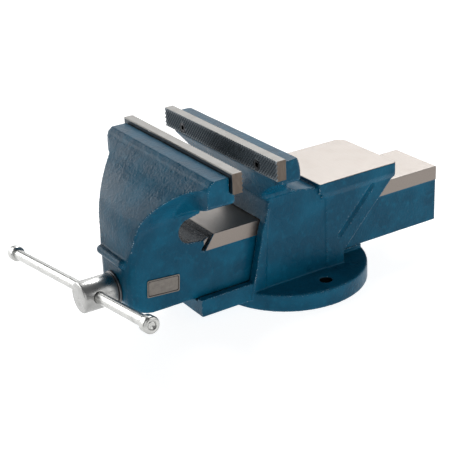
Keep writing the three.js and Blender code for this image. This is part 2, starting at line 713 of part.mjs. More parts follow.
place('fixed_body', fixedBody(), ENAMEL);
place('moving_jaw', movingJaw(), ENAMEL);
place('fixed_jaw_plate', jawPlate(FIXED_FACE_Y, -1), GROUND_STEEL);
place('moving_jaw_plate', jawPlate(MOVING_FACE_Y, 1), GROUND_STEEL);
for (const [word, side] of [['left', -1], ['right', 1]]) {
  place(`fixed_plate_screw_${word}`, plateScrew(FIXED_FACE_Y, -1, side), BLACK_STEEL);
  place(`moving_plate_screw_${word}`, plateScrew(MOVING_FACE_Y, 1, side), BLACK_STEEL);
}
place('badge_plate', badge(), BADGE_METAL);

place('screw_nut', screwNut(), NUT_IRON);
for (const [word, y] of [['front', NUT_BOLT_Y[0]], ['rear', NUT_BOLT_Y[1]]]) {
  place(`nut_bolt_${word}`, nutBolt(y), BLACK_STEEL);
  place(`nut_washer_${word}`, nutWasher(y), BLACK_STEEL);
}

place('lead_screw', leadScrew(), BRIGHT_STEEL);
place('thrust_collar', screwWasher(COLLAR.radius, COLLAR.thick, COLLAR.y), BRIGHT_STEEL);
place('thrust_washer', screwWasher(17, RETAINER.washer, BOSS_INNER_Y + GAP), BRIGHT_STEEL);
place('screw_spring', spring(), BRIGHT_STEEL);
place('spring_washer', screwWasher(17, RETAINER.washer, SPRING_WASHER_Y), BRIGHT_STEEL);
place('retaining_pin', retainingPin(), BRIGHT_STEEL);

place('handle_bar', handleBar(), BRIGHT_STEEL);
place('handle_cap_left', handleCap(-1), BRIGHT_STEEL);
place('handle_cap_right', handleCap(1), BRIGHT_STEEL);

export default group;
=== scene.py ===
"""Bench vise: cast iron body and sliding jaw in blue enamel, steel jaw plates, screw and handle."""

import json
import math

import bmesh
import bpy
import numpy as np
from mathutils import Matrix, Vector, noise


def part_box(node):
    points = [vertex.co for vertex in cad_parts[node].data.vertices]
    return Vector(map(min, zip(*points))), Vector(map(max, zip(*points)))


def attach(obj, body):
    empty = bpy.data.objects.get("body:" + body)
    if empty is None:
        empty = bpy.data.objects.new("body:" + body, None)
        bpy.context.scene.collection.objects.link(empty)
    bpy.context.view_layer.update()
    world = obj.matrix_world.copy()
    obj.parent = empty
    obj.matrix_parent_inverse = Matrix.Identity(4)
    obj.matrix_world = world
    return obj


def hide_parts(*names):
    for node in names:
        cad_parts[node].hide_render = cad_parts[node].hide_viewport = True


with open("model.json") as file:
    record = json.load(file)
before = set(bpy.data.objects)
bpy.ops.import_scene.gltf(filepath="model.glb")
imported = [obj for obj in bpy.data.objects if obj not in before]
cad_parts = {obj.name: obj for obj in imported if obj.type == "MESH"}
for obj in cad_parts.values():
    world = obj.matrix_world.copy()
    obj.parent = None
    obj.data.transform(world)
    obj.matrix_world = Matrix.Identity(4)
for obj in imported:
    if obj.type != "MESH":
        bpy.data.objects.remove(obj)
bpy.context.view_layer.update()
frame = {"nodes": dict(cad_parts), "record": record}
BEHAVIOUR = frame["record"]["behaviour"]
BODY_OF = {node: body for body, nodes in BEHAVIOUR["bodies"].items() for node in nodes}

MM = 0.001
VOXEL = 0.85 * MM
KEPT_FACES = 0.4

# Places shared by several pieces, worked out from the frame, in metres.
PLATE_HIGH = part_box("fixed_jaw_plate")[1]
SCREW_LOW, SCREW_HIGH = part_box("lead_screw")
AXIS_Z = (SCREW_LOW.z + SCREW_HIGH.z) / 2
BAR_TILT = math.radians(8.6)
BAR_AXIS = Vector((math.cos(BAR_TILT), 0, math.sin(BAR_TILT)))
ALONG_Y = Vector((0, 1, 0))
ALONG_Z = Vector((0, 0, 1))

# Machined faces and details of the castings, in millimetres.
ANVIL_TOP_Z, ANVIL_FRONT_Y = 114.1, 9.0
TUNNEL_HALF, TUNNEL_FLOOR_Z, TUNNEL_ROOF_Z = 33.2, 24.6, 90.0
PLATE_SEAT_Y, PLATE_SEAT_LOW_Z = -67.3, 150
SLIDE_HALF, SLIDE_TOP_Z, SLIDE_REAR_Y = 32.4, 89.2, 173.4
SLIDE_TOP_FRONT_Y, BAND_FRONT_Y, BAND_LOW_Z = -107.7, -118.0, 73.9
BOSS_FRONT_Y, BOSS_FACE_R, BORE_Z = -200.2, 24, 48.5
BASE_HOLES = ((62.3, 3), (-62.3, 3), (0, 64))
BASE_HOLE_R, BASE_HOLE_TOP_Z = 7.0, 17.8
GROOVE_Y, GROOVE_Z, GROOVE_SLOPE = 56.8, 73, math.atan2(44, 42)
GROOVE_HALF_LENGTH, GROOVE_HALF_WIDTH, GROOVE_WALL, GROOVE_DEPTH = 30, 3.0, 0.9, 1.3
WEB_INNER_X, WEB_OUTER_X = 40, 44


# ---------------------------------------------------------------- mesh helpers


def piece(node, mesh, material=None):
    """Adds a mesh as the visual piece for a CAD node. A given material covers all its faces."""
    obj = bpy.data.objects.new("vis_" + node, mesh)
    bpy.context.scene.collection.objects.link(obj)
    if material is not None:
        mesh.materials.clear()
        mesh.materials.append(material)
    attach(obj, BODY_OF[node])
    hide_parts(node)
    return obj


def evaluated(mesh, *modifiers):
    """The mesh after the given modifiers, each a (kind, settings) pair."""
    obj = bpy.data.objects.new("work", mesh)
    bpy.context.scene.collection.objects.link(obj)
    for kind, settings in modifiers:
        modifier = obj.modifiers.new(kind, kind)
        for name, value in settings.items():
            setattr(modifier, name, value)
    graph = bpy.context.evaluated_depsgraph_get()
    result = bpy.data.meshes.new_from_object(obj.evaluated_get(graph))
    bpy.data.objects.remove(obj)
    return result


def bevelled(mesh, width):
    """Rounds the mesh's sharp edges by width millimetres."""
    return shaded(evaluated(mesh, ("BEVEL", {
        "width": width * MM, "segments": 3, "limit_method": "ANGLE",
        "angle_limit": math.radians(50), "harden_normals": False,
    })))


def shaded(mesh, angle=35):
    """Smooth shading, with edges sharper than angle, in degrees, left crisp."""
    mesh.shade_smooth()
    mesh.set_sharp_from_angle(angle=math.radians(angle))
    return mesh


def from_bmesh(bm):
    """Turns a bmesh into a mesh with its faces looking outwards, and frees it."""
    bmesh.ops.recalc_face_normals(bm, faces=bm.faces)
    mesh = bpy.data.meshes.new("made")
    bm.to_mesh(mesh)
    bm.free()
    return mesh


def on_axis(origin, axis):
    """Matrix that stands local +Z on origin, looking along axis."""
    turn = Vector(axis).to_track_quat("Z", "Y").to_matrix().to_4x4()
    return Matrix.Translation(origin) @ turn


def lathe(profile, origin, axis, segments=96):
    """Closed solid from (radius, distance) pairs in millimetres, turned about axis."""
    bm = bmesh.new()
    rows = []
    for radius, distance in profile:
        if radius == 0:
            rows.append([bm.verts.new((0, 0, distance * MM))] * segments)
            continue
        rows.append([
            bm.verts.new((radius * MM * math.cos(a), radius * MM * math.sin(a), distance * MM))
            for a in (2 * math.pi * i / segments for i in range(segments))
        ])
    closed = profile[0][0] != 0
    pairs = list(zip(rows, rows[1:] + rows[:1])) if closed else list(zip(rows, rows[1:]))
    for low, high in pairs:
        for i in range(segments):
            k = (i + 1) % segments
            corners = list(dict.fromkeys([low[i], low[k], high[k], high[i]]))
            bm.faces.new(corners)
    bm.transform(on_axis(origin, axis))
    return from_bmesh(bm)


def prism(sides, radius, length, origin, axis, turn=0.0):
    """Straight prism with a regular outline, used to cut holes and sockets."""
    bm = bmesh.new()
    rings = [[
        bm.verts.new((
            radius * MM * math.cos(turn + 2 * math.pi * i / sides),
            radius * MM * math.sin(turn + 2 * math.pi * i / sides), z * MM))
        for i in range(sides)] for z in (0, length)]
    bm.faces.new(rings[0])
    bm.faces.new(rings[1])
    for i in range(sides):
        k = (i + 1) % sides
        bm.faces.new([rings[0][i], rings[0][k], rings[1][k], rings[1][i]])
    bm.transform(on_axis(origin, axis))
    return from_bmesh(bm)


def cut(mesh, *cutters):
    """mesh with each cutter mesh taken away."""
    for cutter in cutters:
        tool = bpy.data.objects.new("cutter", cutter)
        bpy.context.scene.collection.objects.link(tool)
        mesh = evaluated(mesh, ("BOOLEAN", {
            "object": tool, "operation": "DIFFERENCE", "solver": "EXACT"}))
        bpy.data.objects.remove(tool)
    return mesh


# ---------------------------------------------------------------- finishes


class Finish:
    """A procedural material being made, with short names for the nodes the finishes share."""

    def __init__(self, name):
        self.material = bpy.data.materials.new(name)
        self.material.use_nodes = True
        self.tree = self.material.node_tree
        self.tree.nodes.clear()
        output = self.add("ShaderNodeOutputMaterial")
        self.shader = self.add("ShaderNodeBsdfPrincipled")
        self.tree.links.new(self.shader.outputs[0], output.inputs["Surface"])
        place = self.add("ShaderNodeTexCoord").outputs["Object"]
        scale = self.add("ShaderNodeVectorMath", operation="SCALE")
        scale.inputs["Scale"].default_value = 1 / MM
        self.tree.links.new(place, scale.inputs[0])
        self.point = scale.outputs[0]
        parts = self.add("ShaderNodeSeparateXYZ")
        self.put(parts.inputs[0], self.point)
        self.x, self.y, self.z = parts.outputs

    def add(self, kind, **settings):
        node = self.tree.nodes.new(kind)
        for name, value in settings.items():
            setattr(node, name, value)
        return node

    def put(self, socket, value):
        if isinstance(value, bpy.types.NodeSocket):
            self.tree.links.new(value, socket)
        elif isinstance(value, (tuple, list)) and len(value) == 3 and socket.type == "RGBA":
            socket.default_value = (*value, 1)
        else:
            socket.default_value = value

    def set(self, **inputs):
        """Shader inputs by name, with _ for a space."""
        for name, value in inputs.items():
            self.put(self.shader.inputs[name.replace("_", " ")], value)

    def calc(self, operation, *values, clamp=False):
        node = self.add("ShaderNodeMath", operation=operation, use_clamp=clamp)
        for socket, value in zip(node.inputs, values):
            self.put(socket, value)
        return node.outputs[0]

    def ramp(self, value, start, end, low=0.0, high=1.0):
        """low where value is below start, high above end, smooth between them."""
        node = self.add("ShaderNodeMapRange", interpolation_type="SMOOTHSTEP")
        for socket, given in zip(node.inputs, (value, start, end, low, high)):
            self.put(socket, given)
        return node.outputs[0]

    def noise(self, size, detail=3.0, roughness=0.5, stretch=(1, 1, 1)):
        """Noise with features of about size millimetres, drawn out by stretch."""
        spread = self.add("ShaderNodeMapping")
        self.put(spread.inputs["Vector"], self.point)
        spread.inputs["Scale"].default_value = [1 / (size * s) for s in stretch]
        node = self.add("ShaderNodeTexNoise")
        self.put(node.inputs["Vector"], spread.outputs[0])
        self.put(node.inputs["Scale"], 1.0)
        self.put(node.inputs["Detail"], detail)
        self.put(node.inputs["Roughness"], roughness)
        return node.outputs[0]

    def mix(self, factor, a, b):
        node = self.add("ShaderNodeMix", data_type="RGBA")
        self.put(node.inputs[0], factor)
        self.put(node.inputs[6], a)
        self.put(node.inputs[7], b)
        return node.outputs[2]

    def blend(self, factor, a, b):
        node = self.add("ShaderNodeMix", data_type="FLOAT")
        self.put(node.inputs[0], factor)
        self.put(node.inputs[2], a)
        self.put(node.inputs[3], b)
        return node.outputs[0]

    def bump(self, height, distance, normal=None):
        """height from 0 to 1 standing distance millimetres proud."""
        node = self.add("ShaderNodeBump")
        self.put(node.inputs["Distance"], distance * MM)
        self.put(node.inputs["Height"], height)
        if normal is not None:
            self.put(node.inputs["Normal"], normal)
        return node.outputs[0]

    def normal_z(self):
        """How far the surface looks up (1) or down (-1)."""
        turn = self.add("ShaderNodeVectorTransform", vector_type="NORMAL", convert_to="OBJECT")
        self.put(turn.inputs[0], self.add("ShaderNodeNewGeometry").outputs["Normal"])
        parts = self.add("ShaderNodeSeparateXYZ")
        self.put(parts.inputs[0], turn.outputs[0])
        return parts.outputs["Z"]

    def edges(self, start=0.52, end=0.6):
        """1 on outward edges, 0 elsewhere."""
        return self.ramp(self.add("ShaderNodeNewGeometry").outputs["Pointiness"], start, end)


# Colours of the castings.
DEEP_BLUE = (0.0004, 0.062, 0.118)
MID_BLUE = (0.0010, 0.095, 0.172)
LIGHT_BLUE = (0.004, 0.132, 0.225)
# Light edge colour: partly worn paint, partly a painted highlight along the edges.
WORN_EDGE_AND_GLINT = (0.38, 0.50, 0.57)
# Light speck colour: partly dust, partly painted sparkle.
DUST_AND_SPARKLE = (0.30, 0.42, 0.48)
# Painted glint colour: small bright spots on the edges in place of highlights off paint beads.
PAINTED_GLINT = (0.62, 0.72, 0.78)
CAST_DARK, CAST_LIGHT = (0.003, 0.012, 0.020), (0.14, 0.155, 0.175)
# Near-black painted shade for the walls of the base's bolt holes.
HOLE_SHADE = (0.002, 0.004, 0.006)
IRON_DARK, IRON_LIGHT = (0.245, 0.222, 0.203), (0.320, 0.292, 0.270)
IRON_STAIN = (0.21, 0.180, 0.158)
# Painted shade: the ground iron's colour on upright faces, darker than on level ones.
SHADED_UPRIGHT_DARK, SHADED_UPRIGHT_LIGHT = (0.20, 0.175, 0.155), (0.29, 0.255, 0.23)


def paint_colour(finish, broad):
    """Blue enamel in clouded shades, with light edges that are partly wear and partly painted
    highlight, light specks that are partly dust and partly painted sparkle, and small painted
    glints on the edges where paint beads would catch the light.
    """
    patch = finish.noise(6, detail=3)
    colour = finish.mix(finish.ramp(broad, 0.35, 0.7), DEEP_BLUE, MID_BLUE)
    colour = finish.mix(finish.ramp(patch, 0.5, 0.8, 0, 0.5), colour, LIGHT_BLUE)
    # Light colour on the outward edges: partly worn paint, partly painted highlight.
    edges = finish.edges(0.52, 0.58)
    wear_and_glint = finish.calc("MULTIPLY", edges, finish.ramp(finish.noise(2, detail=4), 0.52, 0.60))
    colour = finish.mix(finish.calc("MULTIPLY", wear_and_glint, 0.5), colour, WORN_EDGE_AND_GLINT)
    # Light specks at random: partly dust, partly painted sparkle.
    dust_and_sparkle = finish.calc("MULTIPLY", finish.ramp(finish.noise(1.3, detail=2), 0.66, 0.74), 0.06)
    colour = finish.mix(dust_and_sparkle, colour, DUST_AND_SPARKLE)
    # Painted glints: small bright spots on the edges in place of highlights off paint beads.
    painted_glints = finish.calc(
        "MULTIPLY", finish.edges(0.50, 0.56), finish.ramp(finish.noise(1.1), 0.60, 0.66))
    return finish.mix(finish.calc("MULTIPLY", painted_glints, 0.7), colour, PAINTED_GLINT)


def iron_colour(finish, grain):
    """Ground iron, stained in places, with painted shade on upright faces: they take a darker,
    warmer copy of the iron colour.
    """
    iron = finish.mix(grain, IRON_DARK, IRON_LIGHT)
    stain = finish.ramp(finish.noise(22, detail=3), 0.45, 0.8, 0, 0.25)
    iron = finish.mix(stain, iron, IRON_STAIN)
    # Painted shade: upright faces get the darker copy of the iron colour, level faces the lit one.
    level = finish.calc("ABSOLUTE", finish.normal_z())
    return finish.mix(level, finish.mix(grain, SHADED_UPRIGHT_DARK, SHADED_UPRIGHT_LIGHT), iron)


def enamel_on(finish, bare, raw=0.0, hole_shade=0.0):
    """Blue enamel, with ground iron where bare is 1, raw casting where raw is 1, and near-black
    painted shade where the last mask is 1.
    """
    broad = finish.noise(34, detail=2)
    peel = finish.noise(2.6, detail=1.5, roughness=0.45)
    fine = finish.noise(0.7, detail=1)
    grit = finish.noise(1.5, detail=3, roughness=0.65)
    grain = finish.noise(1.0, detail=2, stretch=(14, 1, 1))
    cast = finish.mix(finish.ramp(grit, 0.52, 0.70), CAST_DARK, CAST_LIGHT)
    colour = finish.mix(raw, paint_colour(finish, broad), cast)
    # Painted shade: the bolt holes' walls turn nearly black.
    colour = finish.mix(hole_shade, colour, HOLE_SHADE)
    painted_rough = finish.ramp(broad, 0.3, 0.7, 0.26, 0.34)
    iron_rough = finish.ramp(grain, 0.2, 0.8, 0.32, 0.48)
    finish.set(
        Base_Color=finish.mix(bare, colour, iron_colour(finish, grain)),
        Metallic=bare,
        Roughness=finish.blend(bare, painted_rough, iron_rough),
        Specular_IOR_Level=0.12,
    )
    height = finish.calc("ADD", peel, finish.calc("MULTIPLY", fine, 0.12))
    painted = finish.calc("SUBTRACT", 1.0, bare)
    normal = finish.bump(finish.calc("MULTIPLY", height, painted), 0.34)
    normal = finish.bump(finish.calc("MULTIPLY", grain, bare), 0.03, normal)
    normal = finish.bump(finish.calc("MULTIPLY", grit, raw), 0.8, normal)
    finish.set(Normal=normal)
    return finish.material


def above(finish, value, edge, soft=0.5):
    """1 where value is over edge, with a step soft wide on each side."""
    return finish.ramp(value, edge - soft, edge + soft)


def below(finish, value, edge, soft=0.5):
    """1 where value is under edge, with a step soft wide on each side."""
    return finish.ramp(value, edge - soft, edge + soft, 1.0, 0.0)


def every(finish, *masks):
    """1 where all the masks are 1."""
    result = masks[0]
    for mask in masks[1:]:
        result = finish.calc("MULTIPLY", result, mask)
    return result


def in_base_holes(finish):
    """1 inside the base's bolt holes, where the walls get painted shade."""
    hole_shade = 0.0
    for x, y in BASE_HOLES:
        across = finish.calc("SUBTRACT", finish.x, x)
        along = finish.calc("SUBTRACT", finish.y, y)
        squares = finish.calc(
            "ADD", finish.calc("MULTIPLY", across, across), finish.calc("MULTIPLY", along, along))
        inside = every(
            finish,
            below(finish, finish.calc("SQRT", squares), BASE_HOLE_R, 0.3),
            below(finish, finish.z, BASE_HOLE_TOP_Z, 0.6))
        hole_shade = finish.calc("ADD", hole_shade, inside)
    return hole_shade


def body_finish():
    """Enamel, with the ground anvil top and the machined tunnel bare."""
    finish = Finish("enamel_body")
    side = finish.calc("ABSOLUTE", finish.x)
    anvil = every(
        finish,
        above(finish, finish.z, ANVIL_TOP_Z - 0.5, 0.25),
        below(finish, finish.z, ANVIL_TOP_Z + 1, 0.3),
        above(finish, finish.y, ANVIL_FRONT_Y, 0.3))
    tunnel = every(
        finish,
        below(finish, side, TUNNEL_HALF + 0.1, 0.25),
        above(finish, finish.z, TUNNEL_FLOOR_Z - 0.2, 0.2),
        below(finish, finish.z, TUNNEL_ROOF_Z + 0.2, 0.2))
    bare = finish.calc("MAXIMUM", anvil, tunnel, clamp=True)
    # The walls of the base's bolt holes get near-black painted shade.
    return enamel_on(finish, bare, hole_shade=in_base_holes(finish))


def slide_finish():
    """Enamel, with the machined slide top and side bands bare and the relief under the head raw."""
    finish = Finish("enamel_slide")
    side = finish.calc("ABSOLUTE", finish.x)
    top = every(
        finish,
        above(finish, finish.z, SLIDE_TOP_Z - 0.5, 0.3),
        below(finish, finish.z, SLIDE_TOP_Z + 1.3, 0.4),
        above(finish, finish.y, SLIDE_TOP_FRONT_Y, 0.3),
        below(finish, side, SLIDE_HALF + 1.1, 0.3))
    band = every(
        finish,
        above(finish, side, SLIDE_HALF - 0.25, 0.12),
        below(finish, side, SLIDE_HALF + 0.6, 0.3),
        above(finish, finish.z, BAND_LOW_Z, 0.25),
        below(finish, finish.z, SLIDE_TOP_Z + 0.8, 0.3),
        above(finish, finish.y, BAND_FRONT_Y, 0.4))
    relief = every(
        finish,
        below(finish, side, 31.2, 0.5),
        above(finish, finish.y, -145.5, 0.3),
        below(finish, finish.y, -106.2, 0.2),
        above(finish, finish.z, 72.5, 0.3),
        below(finish, finish.z, 111.0, 0.5))
    return enamel_on(finish, finish.calc("MAXIMUM", top, band, clamp=True), raw=relief)


def ground_steel():
    """Jaw plates: ground beige steel on top and brownish brushed ends; the dark knurled face has
    the knurled_steel finish.
    """
    finish = Finish("ground_steel")
    grain = finish.noise(0.6, detail=3, stretch=(30, 3, 1))
    blotch = finish.noise(9, detail=4)
    colour = finish.mix(grain, (0.150, 0.146, 0.138), (0.215, 0.210, 0.200))
    colour = finish.mix(finish.ramp(blotch, 0.42, 0.72, 0, 0.35), colour, (0.130, 0.118, 0.105))
    side = finish.calc("ABSOLUTE", finish.x)
    end = above(finish, side, PLATE_HIGH.x / MM - 0.35, 0.25)
    tan = finish.noise(1.6, detail=3, stretch=(1, 1, 5))
    ends = finish.mix(tan, (0.060, 0.047, 0.038), (0.185, 0.155, 0.130))
    colour = finish.mix(end, colour, ends)
    finish.set(
        Base_Color=colour, Metallic=1.0,
        Roughness=finish.blend(end, finish.ramp(grain, 0.2, 0.8, 0.33, 0.48), 0.42),
        Normal=finish.bump(grain, 0.02))
    return finish.material


def knurled_steel():
    """The dark clamping faces."""
    finish = Finish("knurled_steel")
    blotch = finish.noise(6, detail=4)
    colour = finish.mix(blotch, (0.016, 0.026, 0.034), (0.046, 0.064, 0.078))
    colour = finish.mix(finish.edges(0.48, 0.64), colour, (0.46, 0.50, 0.53))
    finish.set(
        Base_Color=colour, Metallic=0.85, Roughness=finish.ramp(blotch, 0.3, 0.7, 0.30, 0.45),
        Normal=finish.bump(finish.noise(0.5, detail=2), 0.03))
    return finish.material


def turned_steel(name, along, tone=(0.40, 0.40, 0.39), rough=0.24):
    """Bright lathe-turned steel. along is the axis (0, 1 or 2) that the tool marks run round."""
    finish = Finish(name)
    stretch = [18, 18, 18]
    stretch[along] = 1
    rings = finish.noise(0.5, detail=2, stretch=stretch)
    smear = finish.noise(12, detail=3)
    dark = tuple(c * 0.62 for c in tone)
    colour = finish.mix(finish.ramp(smear, 0.45, 0.8, 0, 0.5), tone, dark)
    finish.set(
        Base_Color=colour, Metallic=1.0,
        Roughness=finish.ramp(smear, 0.3, 0.7, rough, rough + 0.12),
        Normal=finish.bump(rings, 0.012))
    return finish.material


def black_steel():
    """Oil-blackened screws, bolts and washers."""
    finish = Finish("black_steel")
    blotch = finish.noise(3, detail=4)
    colour = finish.mix(blotch, (0.005, 0.006, 0.008), (0.022, 0.024, 0.028))
    colour = finish.mix(finish.calc("MULTIPLY", finish.edges(), 0.4), colour, (0.20, 0.21, 0.22))
    finish.set(
        Base_Color=colour, Metallic=0.9, Roughness=finish.ramp(blotch, 0.3, 0.7, 0.32, 0.5),
        Normal=finish.bump(finish.noise(0.8, detail=3), 0.03))
    return finish.material


def nut_iron():
    """Rough cast nut."""
    finish = Finish("nut_iron")
    grit = finish.noise(1.2, detail=4)
    colour = finish.mix(grit, (0.06, 0.055, 0.05), (0.17, 0.16, 0.15))
    finish.set(
        Base_Color=colour, Metallic=0.6, Roughness=finish.ramp(grit, 0.3, 0.7, 0.5, 0.75),
        Normal=finish.bump(grit, 0.25))
    return finish.material


def badge_metal():
    """Brushed badge sheet."""
    finish = Finish("badge_metal")
    brush = finish.noise(0.5, detail=3, stretch=(1, 26, 1))
    smear = finish.noise(5, detail=3)
    colour = finish.mix(brush, (0.13, 0.115, 0.10), (0.24, 0.22, 0.20))
    colour = finish.mix(finish.ramp(smear, 0.45, 0.75, 0, 0.4), colour, (0.09, 0.085, 0.08))
    finish.set(
        Base_Color=colour, Metallic=0.8, Roughness=finish.ramp(brush, 0.2, 0.8, 0.28, 0.42),
        Normal=finish.bump(brush, 0.02))
    return finish.material


# ---------------------------------------------------------------- castings


def neighbour_average(count, edges, co):
    """The mean place of each point's neighbours along the edges."""
    total = np.zeros_like(co)
    np.add.at(total, edges[:, 0], co[edges[:, 1]])
    np.add.at(total, edges[:, 1], co[edges[:, 0]])
    degree = np.bincount(edges.ravel(), minlength=count)
    return total / degree[:, None]


def vectors(mesh, name):
    """A vector attribute of the mesh's vertices, as rows of three."""
    values = np.empty(len(mesh.vertices) * 3)
    mesh.vertices.foreach_get(name, values)
    return values.reshape(-1, 3)


def move_to(mesh, co):
    mesh.vertices.foreach_set("co", co.ravel())
    mesh.update()


def smooth(mesh, co, free, rounds=3):
    """Rounds the free points' corners in place, without shrinking the whole."""
    edges = np.empty(len(mesh.edges) * 2, int)
    mesh.edges.foreach_get("vertices", edges)
    edges = edges.reshape(-1, 2)
    for _ in range(rounds):
        for step in (0.55, -0.50):
            co += step * free[:, None] * (neighbour_average(len(co), edges, co) - co)


def sand_waves(co):
    """Gentle waves of a sand casting, from about -1 to 1 at each point."""
    return np.array([
        0.65 * noise.noise(Vector(p) / (17 * MM)) + 0.35 * noise.noise(Vector(p) / (6 * MM))
        for p in co])


def cast_mesh(node, machined, sink=None, wave=0.2):
    """The CAD casting with rounded, slightly wavy cast surfaces.

    machined(points) is 1 on machined faces, and sink(points) presses details into the cast ones.
    """
    mesh = evaluated(
        frame["nodes"][node].data.copy(),
        ("REMESH", {"mode": "VOXEL", "voxel_size": VOXEL, "adaptivity": 0.0}))
    co = vectors(mesh, "co")
    free = 1 - machined(co / MM)
    smooth(mesh, co, free)
    move_to(mesh, co)
    co += vectors(mesh, "normal") * (free * sand_waves(co) * wave * MM)[:, None]
    if sink is not None:
        sink(co)
    move_to(mesh, co)
    mesh = evaluated(mesh, ("DECIMATE", {"ratio": KEPT_FACES}))
    mesh.shade_smooth()
    return evaluated(mesh, ("WEIGHTED_NORMAL", {"weight": 80, "keep_sharp": True}))


def press_groove(co):
    """Sinks the slanted groove with round ends into both sides of the web."""
    x, y, z = co.T / MM
    cosine, sine = math.cos(GROOVE_SLOPE), math.sin(GROOVE_SLOPE)
    along = (y - GROOVE_Y) * cosine + (z - GROOVE_Z) * sine
    across = (z - GROOVE_Z) * cosine - (y - GROOVE_Y) * sine
    beyond = np.maximum(np.abs(along) - GROOVE_HALF_LENGTH, 0)
    inside = np.clip((GROOVE_HALF_WIDTH - np.hypot(beyond, across)) / GROOVE_WALL, 0, 1)
    on_web = (np.abs(x) > WEB_INNER_X) & (np.abs(x) < WEB_OUTER_X)
    co[:, 0] -= np.sign(x) * inside * on_web * GROOVE_DEPTH * MM


def near(values, plane, reach=0.45):
    """True where values are within reach of plane."""
    return np.abs(values - plane) < reach


def body_machined(p):
    """Ground anvil top, tunnel walls, plate seat and underside."""
    x, y, z = p.T
    side = np.abs(x)
    anvil = near(z, ANVIL_TOP_Z) & (y > ANVIL_FRONT_Y + 1)
    under = near(z, 0)
    in_tunnel = (side < TUNNEL_HALF + 0.5) & (z > TUNNEL_FLOOR_Z - 0.4) & (z < TUNNEL_ROOF_Z + 0.4)
    on_wall = near(side, TUNNEL_HALF) | near(z, TUNNEL_FLOOR_Z) | near(z, TUNNEL_ROOF_Z)
    seat = near(y, PLATE_SEAT_Y, 0.6) & (z > PLATE_SEAT_LOW_Z)
    return (anvil | under | (in_tunnel & on_wall) | seat).astype(float)


def slide_machined(p):
    """Slide top, its side bands, the rear end and the boss's front face."""
    x, y, z = p.T
    side = np.abs(x)
    top = near(z, SLIDE_TOP_Z) & (y > SLIDE_TOP_FRONT_Y + 0.7) & (side < SLIDE_HALF + 0.6)
    beside_band = near(side, SLIDE_HALF, 0.35) & (y > BAND_FRONT_Y + 0.5)
    band = beside_band & (z > BAND_LOW_Z - 0.2) & (z < SLIDE_TOP_Z + 0.4)
    rear = near(y, SLIDE_REAR_Y)
    boss = near(y, BOSS_FRONT_Y, 0.3) & (np.hypot(x, z - BORE_Z) < BOSS_FACE_R)
    return (top | band | rear | boss).astype(float)


def make_castings():
    piece("fixed_body", cast_mesh("fixed_body", body_machined, press_groove), body_finish())
    piece("moving_jaw", cast_mesh("moving_jaw", slide_machined), slide_finish())


# ---------------------------------------------------------------- jaw plates


KNURL_COLUMNS, KNURL_ROWS, KNURL_DEPTH = 108, 9, 1.25
COUNTERBORE_R, COUNTERBORE_DEPTH, SHANK_HOLE_R = 5.5, 6.4, 3.1
PLATE_SCREW_X, PLATE_SCREW_Z = 66.5, 162.4


def front_and_back(node, towards):
    """The y of a node's front face, which looks along towards (+1 or -1) in Y, and of its back."""
    low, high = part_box(node)
    return (high.y, low.y) if towards > 0 else (low.y, high.y)


def knurl_grid(bm, low, high, face_y, towards):
    """Rows of vertices over the clamping face, every other one sunk."""
    grid = []
    for j in range(KNURL_ROWS + 1):
        z = low.z + (high.z - low.z) * j / KNURL_ROWS
        row = []
        for i in range(KNURL_COLUMNS + 1):
            x = low.x + (high.x - low.x) * i / KNURL_COLUMNS
            sunk = KNURL_DEPTH * MM if (i + j) % 2 else 0.0
            row.append(bm.verts.new((x, face_y - towards * sunk, z)))
        grid.append(row)
    return grid


def knurl_faces(bm, grid):
    """Two triangles a cell, split so that the raised points become pyramids."""
    for j in range(KNURL_ROWS):
        for i in range(KNURL_COLUMNS):
            a, b, c, d = grid[j][i], grid[j][i + 1], grid[j + 1][i + 1], grid[j + 1][i]
            split = ((a, b, d), (b, c, d)) if (i + j) % 2 == 0 else ((a, b, c), (a, c, d))
            for corners in split:
                bm.faces.new(corners).material_index = 1


def knurled_blank(node, towards):
    """Plate with pyramids over its whole clamping face and rounded edges behind."""
    low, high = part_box(node)
    face_y, back_y = front_and_back(node, towards)
    bm = bmesh.new()
    grid = knurl_grid(bm, low, high, face_y, towards)
    knurl_faces(bm, grid)
    corner = {
        (sx, sz): bm.verts.new((x, back_y, z))
        for sx, x in ((0, low.x), (1, high.x)) for sz, z in ((0, low.z), (1, high.z))}
    left, right = [row[0] for row in grid], [row[-1] for row in grid]
    bm.faces.new([*grid[0], corner[1, 0], corner[0, 0]])
    bm.faces.new([*grid[-1], corner[1, 1], corner[0, 1]])
    bm.faces.new([*left, corner[0, 1], corner[0, 0]])
    bm.faces.new([*right, corner[1, 1], corner[1, 0]])
    bm.faces.new([corner[0, 0], corner[1, 0], corner[1, 1], corner[0, 1]])
    rear_edges = [e for e in bm.edges if all(v in corner.values() for v in e.verts)]
    bmesh.ops.bevel(
        bm, geom=rear_edges, offset=0.7 * MM, segments=2, affect="EDGES", profile=0.6)
    return from_bmesh(bm)


def darken_holes(mesh, back_y):
    """Gives the walls of the screw holes and the plate's back the dark material."""
    for polygon in mesh.polygons:
        centre, normal = polygon.center, polygon.normal
        reach = math.hypot(abs(centre.x) - PLATE_SCREW_X * MM, centre.z - PLATE_SCREW_Z * MM)
        on_hole_wall = reach < COUNTERBORE_R * MM and abs(normal.z) + abs(normal.x) > 0
        if on_hole_wall or abs(centre.y - back_y) < 0.01 * MM:
            polygon.material_index = 1


